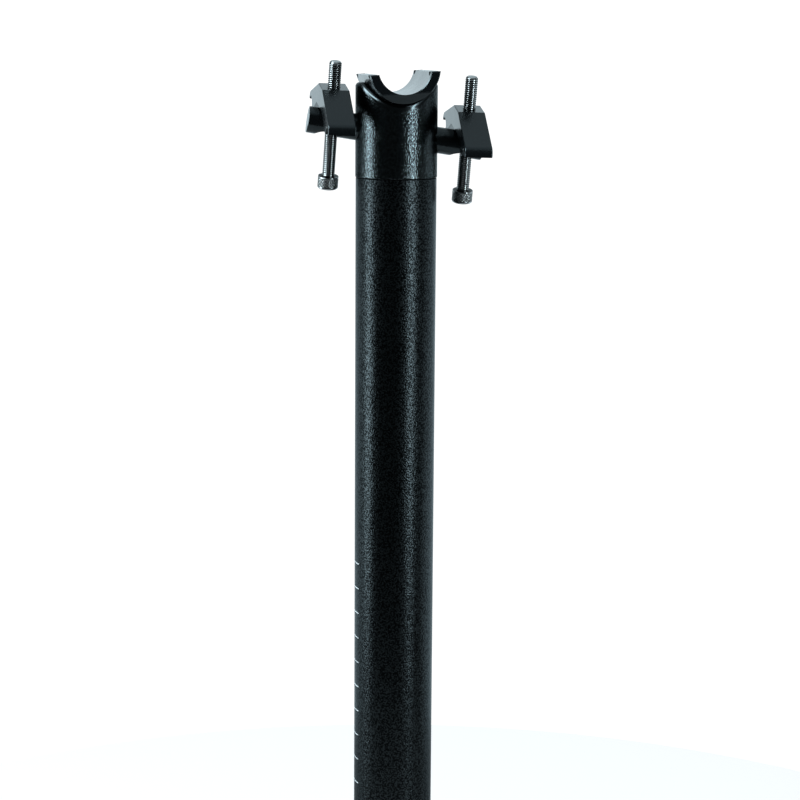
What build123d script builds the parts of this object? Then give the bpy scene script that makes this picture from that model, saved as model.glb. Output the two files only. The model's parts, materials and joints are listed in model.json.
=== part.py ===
from build123d import *
import os
from math import cos, radians, sqrt, tan

# Bicycle seatpost with a two-bolt rail clamp, in millimetres.
# The origin is the centre of the tube's lower end. +Z runs up the tube, +X points to the front
# of the bicycle and +Y to its left side. The clamp is loose, with no saddle in it.

# Post tube
TUBE_OD = 30.9
TUBE_WALL = 2.2
POST_LENGTH = 400.0  # lower end of the tube up to the axis of the rail cradle
TUBE_EDGE = 0.4  # edge break at the lower end

# Saddle rails that the clamp is made for
RAIL_DIAMETER = 7.0
RAIL_SPACING = 44.0

# Rail cradle, a half-pipe that turns in the head's saddle
CRADLE_RADIUS = 13.2
CRADLE_WALL = 3.4
CRADLE_END = 0.5  # metal left beyond the rail grooves
CRADLE_EDGE_DROP = 2.0  # top edges below the cradle's axis
CRADLE_BEVEL_DROP = 9.4  # where the undercut of each end face starts, below the axis
CRADLE_BEVEL_ANGLE = 45.0
CRADLE_BREAK = 0.3
CRADLE_TILT = 3.9  # front edge raised

# Cross bar through the head
BAR_DIAMETER = 10.0
BAR_TILT = 8.9  # rear end raised
BAR_TURN = 13.7  # turned about its own axis, screw tops towards -Y
BAR_CLEARANCE = 0.05
BAR_END = 2.9  # metal beyond each slot
BAR_BREAK = 0.2
BAR_SHIFT = -0.4  # the loose bar stands this far back in its hole
SLOT_LENGTH = 9.6
SLOT_CLEARANCE = 0.25
SEAT_RADIUS = 5.9  # hollows under the bar, in which the screw heads can rock
SEAT_DEPTH = 2.45

# Post head, bonded into the tube
HEAD_STEP = 0.18  # the head stands proud of the tube
SADDLE_CLEARANCE = 0.1
SADDLE_WEB = 6.45  # metal between the cradle's saddle and the bar's hole
HEAD_SKIRT = 11.4  # metal below the bar's hole, down to the seam
LAND_DROP = 5.6  # flat lands in front of and behind the saddle, below the cradle's axis
MITRE_ROUND = 1.6
MITRE_SHARE = 0.45  # the most of a land's width that the rounding takes
SPIGOT_LENGTH = 32.0
SPIGOT_WALL = 3.0
SPIGOT_FLOOR = 8.0  # metal between the spigot's bore and the bar's hole
BOND_GAP = 0.05
SEAM_BREAK = 0.25  # edge break that shows as the seam

# Rail yokes
YOKE_WIDTH = 10.4
YOKE_THICKNESS = 8.1
YOKE_FLAT = 10.0  # length of the flat top
YOKE_SLOPE = 22.6
YOKE_LIP = 0.4  # metal outside the rail groove
YOKE_LIP_DEPTH = 1.75  # how far the lip reaches down over the rail
RAIL_ROOF = 2.65  # metal above the rail
YOKE_FOOT = 3.0  # width of the foot inside the rail groove
YOKE_SEAT = 14.0  # length of the flat that rests on the bar
YOKE_CORNER = 3.4
YOKE_BREAK = 0.4
YOKE_GAP = 4.95  # mean gap between the head's side and a yoke
REST_GAP = 0.3  # a loose yoke above the bar

# Socket-head cap screws, No. 10-32 by 1 3/4 inches
SCREW_DIAMETER = 4.83
SCREW_LENGTH = 44.45
SCREW_CLEARANCE = 0.05
SCREW_HEAD_DIAMETER = 7.92
SCREW_HEAD_HEIGHT = 4.83
SCREW_ROUND = 0.6  # rounded rim of the head
SCREW_POINT = 0.6  # chamfered tip
SOCKET_SIZE = 3.97
SOCKET_DEPTH = 2.4

# Rest position of the loose screws and yokes
SCREW_SHIFT = 1.56  # both screws stand this far forward in their slots
REAR_LEAN = 2.65  # top of the screw leaning forward from the tube's axis
FRONT_LEAN = 2.1
REAR_YAW = 5.6  # yoke turned about its screw
FRONT_YAW = 3.5
REAR_HANG = 15.7  # gap from the bar's underside down to the screw's head
FRONT_HANG = 12.95

# Sizes that follow from those above
TUBE_BORE = TUBE_OD - 2 * TUBE_WALL
HEAD_RADIUS = TUBE_OD / 2 + HEAD_STEP
BAR_RADIUS = BAR_DIAMETER / 2
RAIL_RADIUS = RAIL_DIAMETER / 2
SADDLE_RADIUS = CRADLE_RADIUS + SADDLE_CLEARANCE
BAR_HOLE_RADIUS = BAR_RADIUS + BAR_CLEARANCE
BAR_Z = POST_LENGTH - SADDLE_RADIUS - SADDLE_WEB - BAR_HOLE_RADIUS
SEAM_Z = BAR_Z - BAR_HOLE_RADIUS - HEAD_SKIRT
LAND_Z = POST_LENGTH - LAND_DROP
LAND_WIDTH = HEAD_RADIUS - sqrt(SADDLE_RADIUS**2 - LAND_DROP**2)
CRADLE_LENGTH = RAIL_SPACING + RAIL_DIAMETER + 2 * CRADLE_END
SLOT_OFFSET = (HEAD_RADIUS + YOKE_GAP + YOKE_WIDTH / 2) / cos(radians(BAR_TILT))
BAR_LENGTH = 2 * (SLOT_OFFSET + SLOT_LENGTH / 2 + BAR_END)
YOKE_HALF = (RAIL_SPACING + RAIL_DIAMETER) / 2 + YOKE_LIP

# The bar's own frame: tilted across the head and turned about its axis
BAR_FRAME = Pos(0, 0, BAR_Z) * Rot(0, BAR_TILT, 0) * Rot(BAR_TURN, 0, 0) * Pos(BAR_SHIFT, 0, 0)
ALONG_X = Rot(0, 90, 0)
ALONG_Y = Rot(90, 0, 0)


def screw_frame(side, lean, yaw):
    """Frame on a screw where it crosses the bar's axis: Z up the screw, X across its yoke."""
    crossing = Pos(side * SLOT_OFFSET + SCREW_SHIFT, 0, 0)
    return BAR_FRAME * crossing * Rot(0, lean - BAR_TILT, 0) * Rot(0, 0, yaw)


def yoke_height(lean):
    """Height of a yoke's underside above the bar's axis, one edge of it just clear of the bar."""
    slant = radians(BAR_TILT - lean)
    return BAR_RADIUS / cos(slant) + YOKE_WIDTH / 2 * abs(tan(slant)) + REST_GAP


def post_tube():
    """Plain drawn tube, open at its lower end."""
    height = SEAM_Z
    base = (Align.CENTER, Align.CENTER, Align.MIN)
    tube = Cylinder(TUBE_OD / 2, height, align=base) - Cylinder(TUBE_BORE / 2, height, align=base)
    lower_edges = tube.edges().filter_by(GeomType.CIRCLE).group_by(Axis.Z)[0]
    return chamfer(lower_edges, TUBE_EDGE)


def post_head():
    """Forged head: spigot in the tube, hole for the bar, saddle and lands for the cradle."""
    base = (Align.CENTER, Align.CENTER, Align.MIN)
    head = Pos(0, 0, SEAM_Z) * Cylinder(HEAD_RADIUS, LAND_Z - SEAM_Z, align=base)
    head -= Pos(0, 0, POST_LENGTH) * ALONG_Y * Cylinder(SADDLE_RADIUS, 4 * HEAD_RADIUS)
    saddle_edges = head.edges().filter_by(lambda edge: edge.center().Z > BAR_Z + BAR_HOLE_RADIUS)
    head = fillet(saddle_edges, min(MITRE_ROUND, MITRE_SHARE * LAND_WIDTH))
    head = chamfer(head.edges().group_by(Axis.Z)[0], SEAM_BREAK)
    spigot_radius = TUBE_BORE / 2 - BOND_GAP
    spigot_bottom = SEAM_Z - SPIGOT_LENGTH
    head += Pos(0, 0, spigot_bottom) * Cylinder(spigot_radius, SPIGOT_LENGTH, align=base)
    bore_top = BAR_Z - BAR_HOLE_RADIUS - SPIGOT_FLOOR
    bore_height = bore_top - spigot_bottom
    head -= Pos(0, 0, spigot_bottom) * Cylinder(spigot_radius - SPIGOT_WALL, bore_height, align=base)
    head -= BAR_FRAME * ALONG_X * Cylinder(BAR_HOLE_RADIUS, 4 * HEAD_RADIUS)
    return head


def rail_cradle():
    """Half-pipe with a groove for each rail across its two edges and undercut ends."""
    outer = ALONG_Y * Cylinder(CRADLE_RADIUS, CRADLE_LENGTH)
    inner = ALONG_Y * Cylinder(CRADLE_RADIUS - CRADLE_WALL, CRADLE_LENGTH)
    top = Pos(0, 0, -CRADLE_EDGE_DROP) * Box(
        3 * CRADLE_RADIUS, 2 * CRADLE_LENGTH, 2 * CRADLE_RADIUS, align=(Align.CENTER, Align.CENTER, Align.MIN)
    )
    cradle = outer - inner - top
    for side in (-1, 1):
        corner = Pos(0, side * CRADLE_LENGTH / 2, -CRADLE_BEVEL_DROP)
        wedge = Box(
            3 * CRADLE_RADIUS, 2 * CRADLE_RADIUS, 2 * CRADLE_RADIUS, align=(Align.CENTER, Align.MIN, Align.CENTER)
        )
        if side > 0:
            cradle -= corner * Rot(-CRADLE_BEVEL_ANGLE, 0, 0) * wedge
        else:
            cradle -= corner * Rot(CRADLE_BEVEL_ANGLE, 0, 0) * Rot(0, 0, 180) * wedge
    ends = cradle.faces().filter_by(Axis.Y)
    cradle = chamfer([edge for end in ends for edge in end.edges()], CRADLE_BREAK)
    for side in (-1, 1):
        cradle -= Pos(0, side * RAIL_SPACING / 2, 0) * ALONG_X * Cylinder(RAIL_RADIUS, 4 * CRADLE_RADIUS)
    return Pos(0, 0, POST_LENGTH) * Rot(0, -CRADLE_TILT, 0) * cradle


def cross_bar():
    """Round bar with a slot for each screw and a hollow below each slot for the screw's head."""
    bar = ALONG_X * Cylinder(BAR_RADIUS, BAR_LENGTH)
    bar = chamfer(bar.edges().filter_by(GeomType.CIRCLE), BAR_BREAK)
    slot_width = SCREW_DIAMETER + 2 * SLOT_CLEARANCE
    for side in (-1, 1):
        place = Pos(side * SLOT_OFFSET, 0, 0)
        bar -= place * extrude(SlotOverall(SLOT_LENGTH, slot_width), BAR_DIAMETER, both=True)
        hollow = ALONG_Y * Cylinder(SEAT_RADIUS, 2 * BAR_DIAMETER)
        bar -= place * Pos(0, 0, SEAT_DEPTH - BAR_RADIUS - SEAT_RADIUS) * hollow
    return BAR_FRAME * bar


def rail_yoke():
    """Roof-shaped strap, its underside's centre at the origin and its length along Y."""
    flat = YOKE_FLAT / 2
    drop = tan(radians(YOKE_SLOPE))
    rail_y = RAIL_SPACING / 2
    end_z = YOKE_THICKNESS - (YOKE_HALF - flat) * drop
    rail_z = YOKE_THICKNESS - (rail_y - flat) * drop - RAIL_ROOF - RAIL_RADIUS
    foot_y = rail_y - RAIL_RADIUS
    half = [
        (flat, YOKE_THICKNESS),
        (YOKE_HALF, end_z),
        (YOKE_HALF, rail_z + YOKE_LIP_DEPTH),
        (rail_y, rail_z + YOKE_LIP_DEPTH),
        (rail_y, rail_z),
        (foot_y - YOKE_FOOT, rail_z),
        (YOKE_SEAT / 2, 0),
    ]
    outline = half + [(-y, z) for y, z in reversed(half)]
    profile = make_face(Polyline(outline, close=True))
    for side in (-1, 1):
        profile -= Pos(side * rail_y, rail_z) * Circle(RAIL_RADIUS)
    end_corners = [profile.vertices().sort_by_distance((side * YOKE_HALF, end_z))[0] for side in (-1, 1)]
    profile = fillet(end_corners, YOKE_CORNER)
    yoke = extrude(Plane.YZ * profile, YOKE_WIDTH / 2, both=True)
    rims = yoke.faces().sort_by(Axis.X)
    yoke = fillet(rims[0].edges() + rims[-1].edges(), YOKE_BREAK)
    yoke -= Cylinder(SCREW_DIAMETER / 2 + SCREW_CLEARANCE, 4 * YOKE_THICKNESS)
    return yoke


def cap_screw(hang):
    """Cap screw, head down, from its crossing with the bar: Z runs up the screw."""
    base = (Align.CENTER, Align.CENTER, Align.MIN)
    shank = chamfer(
        Cylinder(SCREW_DIAMETER / 2, SCREW_LENGTH, align=base).edges().group_by(Axis.Z)[-1], SCREW_POINT
    )
    head = Cylinder(SCREW_HEAD_DIAMETER / 2, SCREW_HEAD_HEIGHT, align=(Align.CENTER, Align.CENTER, Align.MAX))
    head = fillet(head.edges().group_by(Axis.Z)[0], SCREW_ROUND)
    socket = extrude(RegularPolygon(SOCKET_SIZE / 2, 6, major_radius=False), SOCKET_DEPTH)
    screw = shank + head - Pos(0, 0, -SCREW_HEAD_HEIGHT) * socket
    return Pos(0, 0, -BAR_RADIUS - hang) * screw


rear_frame = screw_frame(-1, REAR_LEAN, REAR_YAW)
front_frame = screw_frame(1, FRONT_LEAN, FRONT_YAW)
nodes = {
    "post_tube": post_tube(),
    "post_head": post_head(),
    "rail_cradle": rail_cradle(),
    "cross_bar": cross_bar(),
    "rear_yoke": rear_frame * Pos(0, 0, yoke_height(REAR_LEAN)) * rail_yoke(),
    "front_yoke": front_frame * Pos(0, 0, yoke_height(FRONT_LEAN)) * rail_yoke(),
    "rear_bolt": rear_frame * cap_screw(REAR_HANG),
    "front_bolt": front_frame * cap_screw(FRONT_HANG),
}

os.makedirs("parts", exist_ok=True)
for name, shape in nodes.items():
    export_step(shape, f"parts/{name}.step")
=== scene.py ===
import json
import math
import bpy
import numpy as np
from mathutils import Matrix, Vector


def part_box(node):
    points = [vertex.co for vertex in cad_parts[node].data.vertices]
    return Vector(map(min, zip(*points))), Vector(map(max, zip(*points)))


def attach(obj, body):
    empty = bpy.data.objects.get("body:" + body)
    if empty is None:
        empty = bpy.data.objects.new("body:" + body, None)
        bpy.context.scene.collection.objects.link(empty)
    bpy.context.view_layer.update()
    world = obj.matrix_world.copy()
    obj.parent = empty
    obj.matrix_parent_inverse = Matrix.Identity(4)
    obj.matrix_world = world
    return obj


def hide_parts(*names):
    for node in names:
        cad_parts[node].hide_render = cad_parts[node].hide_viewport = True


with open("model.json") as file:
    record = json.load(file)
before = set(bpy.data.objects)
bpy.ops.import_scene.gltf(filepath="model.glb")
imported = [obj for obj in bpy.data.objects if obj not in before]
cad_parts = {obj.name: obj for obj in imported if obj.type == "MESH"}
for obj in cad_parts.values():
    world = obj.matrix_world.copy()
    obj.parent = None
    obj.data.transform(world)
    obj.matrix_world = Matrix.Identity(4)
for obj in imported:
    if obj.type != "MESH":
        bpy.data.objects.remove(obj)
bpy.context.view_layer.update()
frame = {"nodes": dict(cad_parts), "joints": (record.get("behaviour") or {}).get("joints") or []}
MM = 0.001


# Post tube
# A plain drawn alloy tube, open below, sand-blasted to a coarse even grain and anodised black.
# It slides into the frame's seat tube, and the head is bonded into its upper end.
TUBE_WALL = 2.2 * MM
TUBE_EDGE = 0.4 * MM
TUBE_COLUMNS = 160
TUBE_ROWS = 120
SEAM_DEPTH = 0.15 * MM
SEAM_HEIGHT = 0.4 * MM
SEAM_RUNS = 2
SEAM_GLOSS = 0.03
SHARP_EDGE = math.radians(40.0)
TUBE_GRAIN = 0.61 * MM
GRAIN_DETAIL = 0.5
PIT_TO_CREST = (0.28, 0.72)
FLECK_RISE = (0.41, 0.61)
CLOUDS_A_METRE = 45.0
CLOUD_DETAIL = 2.0
NOISE_SPREAD = (0.3, 0.7)


def ring_path(corners, steps):
    """Points (radius, height) along a chain of corners: each run is cut into its own number of
    equal steps, and the last corner is left out because the chain closes on the first."""
    runs = []
    for (start, end), count in zip(zip(corners, corners[1:] + corners[:1]), steps):
        share = np.arange(count)[:, None] / count
        runs.append((1 - share) * np.array(start) + share * np.array(end))
    return np.concatenate(runs)


def turned(path, columns):
    """Carries a path of (radius, height) points round the Z axis: x and y are the radius times the
    cosine and sine of an even series of angles. Gives rows x columns x 3."""
    angle = np.linspace(0, 2 * np.pi, columns, endpoint=False)
    radius = path[:, 0, None]
    height = np.repeat(path[:, 1, None], columns, axis=1)
    return np.stack([radius * np.cos(angle), radius * np.sin(angle), height], axis=-1)


def grid_faces(rows, columns, closed_rows):
    """Quads over a grid whose last column meets its first, each from a point to the next along its
    row and the two below them. Where the rows close, the last row meets the first too."""
    row = np.arange(rows if closed_rows else rows - 1)[:, None]
    column = np.arange(columns)[None, :]
    below = (row + 1) % rows
    beside = (column + 1) % columns
    corners = [
        row * columns + column,
        row * columns + beside,
        below * columns + beside,
        below * columns + column,
    ]
    return np.stack(corners, axis=-1).reshape(-1, 4)


def new_piece(name, points, faces):
    """An object at the origin with its place in its mesh, smooth apart from its sharp edges."""
    mesh = bpy.data.meshes.new(name)
    mesh.from_pydata(points.reshape(-1, 3).tolist(), [], [list(face) for face in faces])
    mesh.validate()
    mesh.shade_smooth()
    mesh.set_sharp_from_angle(angle=SHARP_EDGE)
    piece = bpy.data.objects.new(name, mesh)
    bpy.context.scene.collection.objects.link(piece)
    return piece


def new_material(name):
    """A material, its node tree and its shader."""
    material = bpy.data.materials.new(name)
    material.use_nodes = True
    return material, material.node_tree, material.node_tree.nodes["Principled BSDF"]


def add_node(tree, kind, values=None, **settings):
    """One shader node with its settings, and its inputs set to values or linked to sockets."""
    node = tree.nodes.new(kind)
    for key, value in settings.items():
        setattr(node, key, value)
    for key, value in (values or {}).items():
        if isinstance(value, bpy.types.NodeSocket):
            tree.links.new(value, node.inputs[key])
        else:
            node.inputs[key].default_value = value
    return node


def noise(tree, place, scale, detail):
    """Smooth random values round 0.5 over the surface, with scale lumps a metre."""
    node = add_node(tree, "ShaderNodeTexNoise", {"Vector": place, "Scale": scale, "Detail": detail})
    return node.outputs["Fac"]


def ramp(tree, value, start, end, low=0.0, high=1.0, curve="LINEAR"):
    """Low where the value is at start, high where it is at end, and level beyond them."""
    limits = {"From Min": start, "From Max": end, "To Min": low, "To Max": high}
    node = add_node(tree, "ShaderNodeMapRange", {"Value": value, **limits}, interpolation_type=curve)
    return node.outputs["Result"]


def blend(tree, share, first, second, kind="RGBA"):
    """From the first colour or number to the second as the share goes from 0 to 1."""
    node = add_node(tree, "ShaderNodeMix", {"Factor": share, "A": first, "B": second}, data_type=kind)
    return node.outputs["Result"]


def new_group(name, inputs, outputs):
    """An empty shader node group with float inputs (name to default) and named outputs."""
    group = bpy.data.node_groups.new(name, "ShaderNodeTree")
    for key, default in inputs.items():
        socket = group.interface.new_socket(key, in_out="INPUT", socket_type="NodeSocketFloat")
        socket.default_value = default
    for key in outputs:
        group.interface.new_socket(key, in_out="OUTPUT", socket_type="NodeSocketFloat")
    source = group.nodes.new("NodeGroupInput")
    sink = group.nodes.new("NodeGroupOutput")
    return group, source, sink


def blast_grain_group():
    """Sand-blasted skin, from one noise with Frequency grains a metre. Height is 0 in the pits and
    1 on the crests, Fleck is the same with a steeper rise, and Cloud is a slow drift over
    centimetres."""
    outputs = ["Height", "Fleck", "Cloud"]
    group, source, sink = new_group("blast_grain", {"Frequency": 1 / TUBE_GRAIN}, outputs)
    place = add_node(group, "ShaderNodeTexCoord").outputs["Object"]
    grain = noise(group, place, source.outputs["Frequency"], GRAIN_DETAIL)
    group.links.new(ramp(group, grain, *PIT_TO_CREST), sink.inputs["Height"])
    group.links.new(ramp(group, grain, *FLECK_RISE), sink.inputs["Fleck"])
    group.links.new(noise(group, place, CLOUDS_A_METRE, CLOUD_DETAIL), sink.inputs["Cloud"])
    return group


BLAST_GRAIN = blast_grain_group()


def black_anodised(name, grain, relief, pit, crest, smooth, rough):
    """Black anodised alloy: blast grain of a given size and relief, colour from pit in its hollows
    to crest on its tops, and roughness between smooth and rough with the slow drift. Gives the
    material and its shader."""
    material, tree, shader = new_material(name)
    skin = add_node(tree, "ShaderNodeGroup", {"Frequency": 1 / grain}, node_tree=BLAST_GRAIN)
    tone = blend(tree, skin.outputs["Fleck"], pit, crest)
    drift = ramp(tree, skin.outputs["Cloud"], *NOISE_SPREAD, smooth, rough)
    lumps = {"Height": skin.outputs["Height"], "Strength": 1.0, "Distance": relief}
    bump = add_node(tree, "ShaderNodeBump", lumps)
    tree.links.new(tone, shader.inputs["Base Color"])
    tree.links.new(drift, shader.inputs["Roughness"])
    tree.links.new(bump.outputs["Normal"], shader.inputs["Normal"])
    return material, shader


def shine_as_metal(shader, edge):
    """A metal's own shine, bare or through a thin black skin: the colour is what it reflects face
    on, and edge what it reflects close to its outline."""
    shader.inputs["Metallic"].default_value = 1.0
    shader.inputs["Specular Tint"].default_value = edge


tube_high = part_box("post_tube")[1]
TUBE_RADIUS = tube_high.x
TUBE_TOP = tube_high.z
# The wall's section: the groove at the seam, the top, the bore, the lower end and the outside.
tube_corners = [
    (TUBE_RADIUS, TUBE_TOP - SEAM_HEIGHT),
    (TUBE_RADIUS - SEAM_DEPTH, TUBE_TOP - SEAM_HEIGHT),
    (TUBE_RADIUS - SEAM_DEPTH, TUBE_TOP),
    (TUBE_RADIUS - TUBE_WALL, TUBE_TOP),
    (TUBE_RADIUS - TUBE_WALL, TUBE_EDGE),
    (TUBE_RADIUS - TUBE_WALL + TUBE_EDGE, 0),
    (TUBE_RADIUS - TUBE_EDGE, 0),
    (TUBE_RADIUS, TUBE_EDGE),
]
tube_path = ring_path(tube_corners, [1, 1, 1, TUBE_ROWS, 1, 1, 1, TUBE_ROWS])
tube_points = turned(tube_path, TUBE_COLUMNS)
tube_faces = grid_faces(*tube_points.shape[:2], closed_rows=True)
tube = new_piece("sand_blasted_tube", tube_points, tube_faces)
sand_blasted, sand_blasted_shader = black_anodised(
    "sand_blasted_black", grain=TUBE_GRAIN, relief=0.045 * MM,
    pit=(0.0070, 0.0080, 0.0084, 1), crest=(0.0395, 0.0457, 0.0478, 1), smooth=0.28, rough=0.32)
shine_as_metal(sand_blasted_shader, edge=(0.66, 0.685, 0.70, 1))
tube.data.materials.append(sand_blasted)
bond_line, bond_line_shader = black_anodised(
    "bond_line_black", grain=TUBE_GRAIN, relief=0.02 * MM,
    pit=(0.0008, 0.0009, 0.0010, 1), crest=(0.002, 0.0022, 0.0024, 1), smooth=0.7, rough=0.85)
bond_line_shader.inputs["Specular IOR Level"].default_value = SEAM_GLOSS
tube.data.materials.append(bond_line)
# The section's first runs are the ledge and the floor of the groove, where the bond line shows.
groove = np.zeros(len(tube.data.polygons), dtype=np.int32)
groove[:SEAM_RUNS * TUBE_COLUMNS] = 1
tube.data.polygons.foreach_set("material_index", groove)
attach(tube, "post")
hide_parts("post_tube")


# Depth marks
# A scale of short lines across the tube's rear face, 10 mm apart, for setting the saddle's height.
# They are etched by laser through the black skin to the pale alloy. Each is a slab that stands
# a hair proud of the skin, so that the two surfaces don't coincide.
MARK_DROP = 150.3 * MM
MARK_STEP = 10.0 * MM
MARK_COUNT = 12
MARK_WIDTH = 0.42 * MM
MARK_HALF_ANGLE = math.radians(20.7)
MARK_PROUD = 0.02 * MM
MARK_ROOT = 0.04 * MM
MARK_COLUMNS = 48
MARK_CORNERS = 4
MARK_DARK = (0.45, 0.46, 0.47, 1)
MARK_PALE = (0.80, 0.81, 0.82, 1)
MARK_ROUGHNESS = 0.55
REAR = math.pi


def mark_slab(height):
    """One line as a thin slab bent round the tube: a rectangle as deep as root and proud together
    and as tall as the line, carried along an arc about the tube's axis."""
    arc = REAR + np.linspace(-MARK_HALF_ANGLE, MARK_HALF_ANGLE, MARK_COLUMNS)[:, None]
    inner = TUBE_RADIUS - MARK_ROOT
    outer = TUBE_RADIUS + MARK_PROUD
    half = MARK_WIDTH / 2
    section = np.array([(inner, -half), (outer, -half), (outer, half), (inner, half)])
    radius = section[None, :, 0]
    rise = np.repeat(section[None, :, 1], MARK_COLUMNS, axis=0)
    return np.stack([radius * np.cos(arc), radius * np.sin(arc), height + rise], axis=-1)


def etched_alloy():
    """Bare alloy burnt pale by the laser, broken up where the blast grain's hollows stay dark."""
    material, tree, shader = new_material("laser_etched_alloy")
    skin = add_node(tree, "ShaderNodeGroup", {"Frequency": 1 / TUBE_GRAIN}, node_tree=BLAST_GRAIN)
    tone = blend(tree, skin.outputs["Fleck"], MARK_DARK, MARK_PALE)
    tree.links.new(tone, shader.inputs["Base Color"])
    shader.inputs["Roughness"].default_value = MARK_ROUGHNESS
    return material


mark_heights = TUBE_TOP - MARK_DROP - MARK_STEP * np.arange(MARK_COUNT)
mark_points = np.stack([mark_slab(height) for height in mark_heights])
slab_sides = grid_faces(MARK_COLUMNS, MARK_CORNERS, closed_rows=False)
first_end = np.arange(MARK_CORNERS)[::-1]
last_end = (MARK_COLUMNS - 1) * MARK_CORNERS + np.arange(MARK_CORNERS)
slab_faces = np.concatenate([slab_sides, [first_end, last_end]])
slab_starts = np.arange(MARK_COUNT)[:, None, None] * MARK_COLUMNS * MARK_CORNERS
mark_faces = (slab_faces[None] + slab_starts).reshape(-1, 4)
marks = new_piece("depth_marks", mark_points, mark_faces)
marks.data.materials.append(etched_alloy())
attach(marks, "post")


# Post head
# A forged and machined alloy head with a saddle across its top for the rail cradle and a hole for
# the cross bar. Its spigot is bonded in the tube, and it is shot-peened finer than the tube is.
SADDLE_RADIUS = 13.3 * MM
MITRE_DEPTH = 2.7 * MM
MITRE_FADE = 0.4 * MM
MIDDLE_TONE = 0.5


def vector_calc(tree, operation, *terms):
    """One sum in a node tree on vectors or sockets. Gives the node's outputs, Vector and Value."""
    return add_node(tree, "ShaderNodeVectorMath", dict(enumerate(terms)), operation=operation).outputs


def joint_named(name):
    """One of the frame's joints."""
    return next(joint for joint in frame["joints"] if joint["name"] == name)


def recoat(name, material):
    """Gives one of the frame's own pieces its finish in place of its plain material."""
    piece = frame["nodes"][name]
    piece.data.materials.clear()
    piece.data.materials.append(material)


def smooth_saddle(tree, axis_height):
    """Takes the grain off the saddle and its rounded mitre, which are cut after the peening: a mask
    runs from 0 to 1 with the distance from the cradle's axis, which lies along Y, and the grain's
    height and flecks are faded by it to an even middle tone."""
    skin = next(node for node in tree.nodes if node.type == "GROUP")
    bump = next(node for node in tree.nodes if node.type == "BUMP")
    tone = next(node for node in tree.nodes if node.type == "MIX")
    place = add_node(tree, "ShaderNodeTexCoord").outputs["Object"]
    offset = vector_calc(tree, "SUBTRACT", place, (0, 0, axis_height))["Vector"]
    radial = vector_calc(tree, "MULTIPLY", offset, (1, 0, 1))["Vector"]
    distance = vector_calc(tree, "LENGTH", radial)["Value"]
    mitre = SADDLE_RADIUS + MITRE_DEPTH
    peened = ramp(tree, distance, mitre - MITRE_FADE, mitre + MITRE_FADE)
    for output, socket in (("Height", bump.inputs["Height"]), ("Fleck", tone.inputs["Factor"])):
        faded = blend(tree, peened, MIDDLE_TONE, skin.outputs[output], kind="FLOAT")
        tree.links.new(faded, socket)


cradle_centre = joint_named("cradle_tilt")["pos_m"]
fine_peened, fine_peened_shader = black_anodised(
    "fine_peened_black", grain=0.54 * MM, relief=0.06 * MM,
    pit=(0.0265, 0.0305, 0.0318, 1), crest=(0.083, 0.096, 0.100, 1), smooth=0.16, rough=0.19)
shine_as_metal(fine_peened_shader, edge=(0.425, 0.425, 0.425, 1))
smooth_saddle(fine_peened.node_tree, axis_height=cradle_centre[2])
recoat("post_head", fine_peened)


# Clamp
# The half-pipe cradle, the round cross bar and the two roof-shaped yokes are machined from bar,
# finely blasted and anodised a smooth satin black. The cradle turns in the head's saddle, the bar
# turns in the head's hole, and each yoke rides on its own screw.
SATIN_GLOSS = 0.52
SATIN_TINT = (0.82, 0.96, 1.0, 1)
satin_black, satin_shader = black_anodised(
    "satin_black", grain=0.50 * MM, relief=0.004 * MM,
    pit=(0.0012, 0.0015, 0.0019, 1), crest=(0.0025, 0.003, 0.0036, 1), smooth=0.18, rough=0.23)
satin_shader.inputs["Specular IOR Level"].default_value = SATIN_GLOSS
satin_shader.inputs["Specular Tint"].default_value = SATIN_TINT
for name in ("rail_cradle", "cross_bar", "rear_yoke", "front_yoke"):
    recoat(name, satin_black)


# Cap screws
# Two stainless socket-head screws, No. 10-32, threaded all the way, with a knurled head and a
# hexagon socket. Each hangs head down through a slot in the cross bar and threads into its yoke.
INCH = 25.4 * MM
THREADS_AN_INCH = 32
THREAD_PITCH = INCH / THREADS_AN_INCH
THREAD_DEPTH = 0.38 * THREAD_PITCH
THREAD_RUNOUT = 1.5 * THREAD_PITCH
THREAD_ROOT = 0.25
THREAD_CREST = 0.65
ROWS_A_PITCH = 8
SCREW_COLUMNS = 160
KNURL_STARTS = 20
KNURL_DEPTH = 0.16 * MM
KNURL_LEAD = 1.15 * MM
KNURL_FLAT = 0.375
KNURL_BELOW_SHOULDER = 0.5 * MM
KNURL_ABOVE_END = 0.9 * MM
KNURL_FADE = 0.3 * MM
KNURL_ROWS = 40
ROUNDING_ROWS = 6
SHANK_RADIUS = 2.415 * MM
SHANK_POINT = 0.6 * MM
HEAD_RADIUS = 3.96 * MM
HEAD_HEIGHT = 4.83 * MM
HEAD_ROUND = 0.6 * MM
SHOULDER_ROUND = 0.2 * MM
SOCKET_HALF = 1.985 * MM
SOCKET_DEPTH = 2.4 * MM
SOCKET_MOUTH = 0.15 * MM
TIP_INSET = 0.001 * MM
TIP_BAND = 0.001 * MM
PLACE_DIGITS = 7
STEEL_LUMPS_A_METRE = 900.0
STEEL_DETAIL = 4.0
STEEL_DULL = (0.34, 0.345, 0.345, 1)
STEEL_BRIGHT = (0.64, 0.645, 0.645, 1)
STEEL_EDGE = (0.55, 0.56, 0.56, 1)
STEEL_ROUGHNESS = (0.14, 0.24)
# The near black of the painted shade in the hollows of the thread and the knurl.
PAINTED_HOLLOW_SHADE = (0.05, 0.05, 0.05, 1)
HOLLOW_TO_FLAT = (0.478, 0.545)


def triangle_wave(turns):
    """0 at whole turns and 1 at half turns, straight between."""
    return 1 - np.abs(2 * (turns % 1) - 1)


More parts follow.
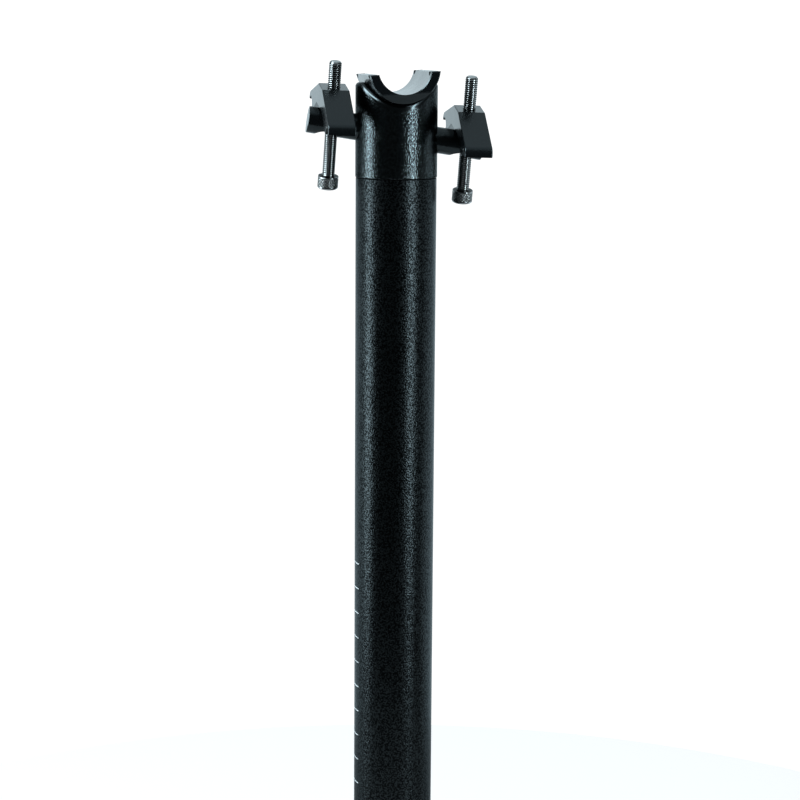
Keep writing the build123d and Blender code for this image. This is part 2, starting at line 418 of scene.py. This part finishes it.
def thread_radius(turns, height, length):
    """Screw thread: a triangle wave in height over pitch less turns round the axis, cut flat at
    root and crest. It fades out at the shoulder and is cut by a cone at the point."""
    wave = triangle_wave(height / THREAD_PITCH - turns)
    tooth = np.clip((wave - THREAD_ROOT) / (THREAD_CREST - THREAD_ROOT), 0, 1)
    runout = np.clip(height / THREAD_RUNOUT, 0, 1)
    cone = SHANK_RADIUS - np.clip(height - (length - SHANK_POINT), 0, None)
    return np.minimum(SHANK_RADIUS - THREAD_DEPTH * runout * (1 - tooth), cone)


def knurl_radius(turns, depth):
    """Diamond knurl: two families of V grooves that climb opposite ways round the head, the deeper
    of the two counting, faded out towards the shoulder and the end."""
    climb = depth / KNURL_LEAD
    left = 1 - triangle_wave(KNURL_STARTS * turns + climb)
    right = 1 - triangle_wave(KNURL_STARTS * turns - climb)
    groove = np.clip((np.maximum(left, right) - KNURL_FLAT) / (1 - KNURL_FLAT), 0, 1)
    upper = np.clip((depth - KNURL_BELOW_SHOULDER) / KNURL_FADE, 0, 1)
    lower = np.clip((HEAD_HEIGHT - KNURL_ABOVE_END - depth) / KNURL_FADE, 0, 1)
    return HEAD_RADIUS - KNURL_DEPTH * groove * upper * lower


def hexagon_radius(turns, half):
    """Distance to a hexagon's side: half its width over the cosine of the angle from the middle of
    the side."""
    angle = (turns * 6 % 1 - 0.5) * math.radians(60)
    return half / np.cos(angle)


def screw_surface(length):
    """The whole screw as one surface round its axis: rows run from the tip's centre down the
    thread, out over the shoulder, down the knurl, round the rim and up the socket to its centre.
    Gives rows x columns x 3 with height 0 at the shoulder."""
    turns = np.arange(SCREW_COLUMNS) / SCREW_COLUMNS
    thread_rows = int(round(length / THREAD_PITCH * ROWS_A_PITCH)) + 1
    up = np.linspace(length, 0, thread_rows)[:, None]
    bend = np.linspace(0, math.pi / 2, ROUNDING_ROWS)[:, None]
    down = np.linspace(SHOULDER_ROUND, HEAD_HEIGHT - HEAD_ROUND, KNURL_ROWS)[:, None]
    hexagon = hexagon_radius(turns, SOCKET_HALF)
    mouth = hexagon + SOCKET_MOUTH
    rim_centre = HEAD_RADIUS - HEAD_ROUND
    shoulder_centre = HEAD_RADIUS - SHOULDER_ROUND
    rows = [
        (0.0, length),
        (thread_radius(turns, up, length), up),
        (shoulder_centre + SHOULDER_ROUND * np.sin(bend), SHOULDER_ROUND * (np.cos(bend) - 1)),
        (knurl_radius(turns, down), -down),
        (rim_centre + HEAD_ROUND * np.cos(bend), HEAD_ROUND * (1 - np.sin(bend)) - HEAD_HEIGHT),
        (mouth, -HEAD_HEIGHT),
        (hexagon, SOCKET_MOUTH - HEAD_HEIGHT),
        (hexagon, SOCKET_DEPTH - HEAD_HEIGHT),
        (0.0, SOCKET_DEPTH - HEAD_HEIGHT),
    ]
    shaped = []
    for radius, height in rows:
        radius = np.atleast_2d(radius)
        height = np.atleast_2d(height)
        count = max(radius.shape[0], height.shape[0])
        shape = (count, SCREW_COLUMNS)
        shaped.append((np.broadcast_to(radius, shape), np.broadcast_to(height, shape)))
    radius = np.concatenate([pair[0] for pair in shaped])
    height = np.concatenate([pair[1] for pair in shaped])
    angle = 2 * np.pi * turns
    return np.stack([radius * np.cos(angle), radius * np.sin(angle), height], axis=-1)


def bright_steel():
    """Stainless steel with a dull drift, and painted shade where the surface is hollow, as in
    the roots of the thread and the knurl."""
    material, tree, shader = new_material("stainless_steel")
    place = add_node(tree, "ShaderNodeTexCoord").outputs["Object"]
    drift = noise(tree, place, STEEL_LUMPS_A_METRE, STEEL_DETAIL)
    bare = blend(tree, drift, STEEL_DULL, STEEL_BRIGHT)
    pointed = add_node(tree, "ShaderNodeNewGeometry").outputs["Pointiness"]
    # Painted shade: where Pointiness finds the surface hollow, the steel's colour is darkened towards
    # near black.
    tone = blend(tree, ramp(tree, pointed, *HOLLOW_TO_FLAT), PAINTED_HOLLOW_SHADE, bare)
    dull = ramp(tree, drift, *NOISE_SPREAD, *STEEL_ROUGHNESS)
    tree.links.new(tone, shader.inputs["Base Color"])
    tree.links.new(dull, shader.inputs["Roughness"])
    shine_as_metal(shader, edge=STEEL_EDGE)
    return material


def node_points(name):
    """A frame node's corners as an array, each place once."""
    mesh = frame["nodes"][name].data
    flat = np.empty(len(mesh.vertices) * 3)
    mesh.vertices.foreach_get("co", flat)
    return np.unique(np.round(flat.reshape(-1, 3), PLACE_DIGITS), axis=0)


def screw_line(node, joint):
    """Centre of a screw's tip, its direction and its whole length: the direction is its joint's
    axis, and the tip is the mean of the corners that lie furthest along it, drawn in by a hair so
    that the screw stays inside its solid's box."""
    axis = np.array(joint_named(joint)["axis"])
    axis = axis / np.linalg.norm(axis)
    points = node_points(node)
    along = points @ axis
    tip = points[along > along.max() - TIP_BAND].mean(axis=0) - TIP_INSET * axis
    return tip, axis, along.max() - along.min() - 2 * TIP_INSET


steel = bright_steel()
for side in ("rear", "front"):
    tip, axis, whole = screw_line(f"{side}_bolt", f"{side}_bolt_lift")
    shank_length = whole - HEAD_HEIGHT
    surface = screw_surface(shank_length)
    across = np.cross(axis, (0, 1, 0))
    across = across / np.linalg.norm(across)
    turn = np.stack([across, np.cross(axis, across), axis])
    placed = (surface - (0, 0, shank_length)) @ turn + tip
    outward = grid_faces(*surface.shape[:2], closed_rows=False)[:, ::-1]
    screw = new_piece(f"{side}_cap_screw", placed, outward)
    screw.data.materials.append(steel)
    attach(screw, f"{side}_screw")
    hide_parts(f"{side}_bolt")


# Camera
# It stands on the post's right side, a little to the rear and level with the top of the clamp, and
# looks down along the tube. Its place, aim and focal length are fitted to the post's outline.
CAMERA_DISTANCE = 753.1 * MM
CAMERA_HEIGHT = 406.25 * MM
CAMERA_AZIMUTH = math.radians(-6.8)
CAMERA_PAN = math.radians(-0.155)
CAMERA_PITCH = math.radians(10.075)
CAMERA_ROLL = math.radians(0.38)
FOCAL_PIXELS = 1968.0
IMAGE_PIXELS = 800.0

heading = CAMERA_AZIMUTH + CAMERA_PAN
level = Vector((-math.sin(heading), math.cos(heading), 0))
right = Vector((math.cos(heading), math.sin(heading), 0))
up = Vector((0, 0, 1))
look = level * math.cos(CAMERA_PITCH) - up * math.sin(CAMERA_PITCH)
upright = up * math.cos(CAMERA_PITCH) + level * math.sin(CAMERA_PITCH)
camera_x = right * math.cos(CAMERA_ROLL) + upright * math.sin(CAMERA_ROLL)
camera_y = upright * math.cos(CAMERA_ROLL) - right * math.sin(CAMERA_ROLL)
camera = bpy.data.objects.new("camera", bpy.data.cameras.new("camera"))
camera.data.lens = camera.data.sensor_width * FOCAL_PIXELS / IMAGE_PIXELS
turned_axes = Matrix((camera_x, camera_y, -look)).transposed()
camera_stand = Vector((math.sin(CAMERA_AZIMUTH), -math.cos(CAMERA_AZIMUTH), 0)) * CAMERA_DISTANCE
camera.matrix_world = Matrix.Translation(camera_stand + up * CAMERA_HEIGHT) @ turned_axes.to_4x4()
bpy.context.scene.collection.objects.link(camera)
bpy.context.scene.camera = camera


# Studio
# A pale round floor and a white sweep behind the post, dark behind the camera, with a tall softbox
# on each side and a square one high on the left. Angles run from the camera's side, to its right.
FLOOR_DROP = 0.5 * MM
FLOOR_RADIUS = 0.40
FLOOR_SIDES = 96
FLOOR_COLOUR = (0.34, 0.34, 0.34, 1)
FLOOR_GLOW = 0.70
FLOOR_MIRRORED = 0.12
COOL_WHITE = (0.77, 0.93, 1.0)
PURE_WHITE = (1, 1, 1, 1)
SWEEP_DARK = 0.045
SWEEP_SIDES = (0.2, -0.375)
SWEEP_BACK = (-0.58, -0.88)
SWEEP_HORIZON = (-0.065, -0.025)
SIDES_GLOW = (1.32, 0.27)
BACK_GLOW = (-0.28, 0.86)
SWEEP_LEAN = 0.12
SWEEP_FADE = 0.10
HORIZON_TO_ZENITH = (0.0, 1.0)
OVERHEAD_RISE = (0.58, 1.0)
OVERHEAD_GLOW = 0.58
towards_camera = camera_stand.normalized()
camera_right = Vector((math.cos(CAMERA_AZIMUTH), math.sin(CAMERA_AZIMUTH), 0))


def softbox(name, angle, distance, height, width, tall, radiance, aim_height):
    """A rectangular lamp on a circle round the post, facing a point on the post's axis."""
    lamp = bpy.data.lights.new(name, "AREA")
    lamp.shape = "RECTANGLE"
    lamp.size = width
    lamp.size_y = tall
    lamp.color = COOL_WHITE
    lamp.energy = radiance * math.pi * width * tall
    stand = bpy.data.objects.new(name, lamp)
    bearing = math.radians(angle)
    spot = (towards_camera * math.cos(bearing) + camera_right * math.sin(bearing)) * distance
    stand.location = spot + up * height
    facing = Vector((0, 0, aim_height)) - stand.location
    stand.rotation_mode = "QUATERNION"
    stand.rotation_quaternion = facing.to_track_quat("-Z", "Y")
    stand.visible_camera = False
    bpy.context.scene.collection.objects.link(stand)


softbox("left_softbox", angle=-82.0, distance=0.75, height=0.52,
        width=0.22, tall=1.10, radiance=8.8, aim_height=0.40)
softbox("right_softbox", angle=46.8, distance=0.75, height=0.55,
        width=0.10, tall=1.10, radiance=14.6, aim_height=0.45)
softbox("high_softbox", angle=-60.0, distance=0.60, height=0.92,
        width=0.45, tall=0.45, radiance=11.0, aim_height=0.40)


def calc(tree, operation, *terms):
    """One sum in a node tree, on numbers or sockets."""
    return add_node(tree, "ShaderNodeMath", dict(enumerate(terms)), operation=operation).outputs[0]


def studio_floor():
    """Pale floor: it scatters light as it is, and to the camera it also glows, so that only the
    post's own shadow falls below white. In shiny surfaces it shows a share of that glow."""
    material, tree, shader = new_material("pale_floor")
    tree.nodes.remove(shader)
    sees = add_node(tree, "ShaderNodeLightPath").outputs
    scatter = add_node(tree, "ShaderNodeBsdfDiffuse", {"Color": FLOOR_COLOUR})
    mirrored = calc(tree, "MAXIMUM", sees["Is Glossy Ray"], sees["Is Transmission Ray"])
    shown = calc(tree, "MULTIPLY_ADD", mirrored, FLOOR_MIRRORED, sees["Is Camera Ray"])
    glow = calc(tree, "MULTIPLY", shown, FLOOR_GLOW)
    shine = add_node(tree, "ShaderNodeEmission", {"Strength": glow})
    both = add_node(tree, "ShaderNodeAddShader", {0: scatter.outputs[0], 1: shine.outputs[0]})
    tree.links.new(both.outputs[0], tree.nodes["Material Output"].inputs["Surface"])
    return material


floor_angle = np.linspace(0, 2 * np.pi, FLOOR_SIDES, endpoint=False)
floor_x = FLOOR_RADIUS * np.cos(floor_angle)
floor_y = FLOOR_RADIUS * np.sin(floor_angle)
floor_points = np.column_stack([floor_x, floor_y, np.full(FLOOR_SIDES, -FLOOR_DROP)])
floor = new_piece("studio_floor", floor_points, np.arange(FLOOR_SIDES)[None])
floor.data.materials.append(studio_floor())


def white_sweep():
    """The backdrop as light from all round, by direction. It is dark towards the camera and rises to
    a glow at the sides, and behind the post a second step is added to it. Each step has one level
    below the horizon and another above it. The whole is a little brighter to the right and fades
    upwards, with one more glow overhead. To the camera itself it is plain white."""
    world = bpy.data.worlds.new("white_sweep")
    world.use_nodes = True
    sky = world.node_tree
    sees = add_node(sky, "ShaderNodeLightPath").outputs["Is Camera Ray"]
    aim = add_node(sky, "ShaderNodeTexCoord").outputs["Generated"]
    front = vector_calc(sky, "DOT_PRODUCT", aim, towards_camera)["Value"]
    aside = vector_calc(sky, "DOT_PRODUCT", aim, camera_right)["Value"]
    rise = add_node(sky, "ShaderNodeSeparateXYZ", {0: aim}).outputs["Z"]
    around = ramp(sky, rise, *SWEEP_HORIZON, *SIDES_GLOW)
    behind = ramp(sky, rise, *SWEEP_HORIZON, *BACK_GLOW)
    sides = calc(sky, "MULTIPLY_ADD", ramp(sky, front, *SWEEP_SIDES), around, SWEEP_DARK)
    back = calc(sky, "MULTIPLY_ADD", ramp(sky, front, *SWEEP_BACK), behind, sides)
    fade = ramp(sky, rise, *HORIZON_TO_ZENITH, low=1.0, high=1 - SWEEP_FADE)
    lean = calc(sky, "MULTIPLY_ADD", aside, SWEEP_LEAN, 1.0)
    leaning = calc(sky, "MULTIPLY", calc(sky, "MULTIPLY", back, fade), lean)
    overhead = ramp(sky, rise, *OVERHEAD_RISE, high=OVERHEAD_GLOW, curve="SMOOTHSTEP")
    lit = calc(sky, "MAXIMUM", leaning, overhead)
    background = sky.nodes["Background"]
    sky.links.new(calc(sky, "MAXIMUM", lit, sees), background.inputs["Strength"])
    sky.links.new(blend(sky, sees, (*COOL_WHITE, 1), PURE_WHITE), background.inputs["Color"])
    return world


bpy.context.scene.world = white_sweep()
bpy.context.scene.view_settings.view_transform = "Standard"
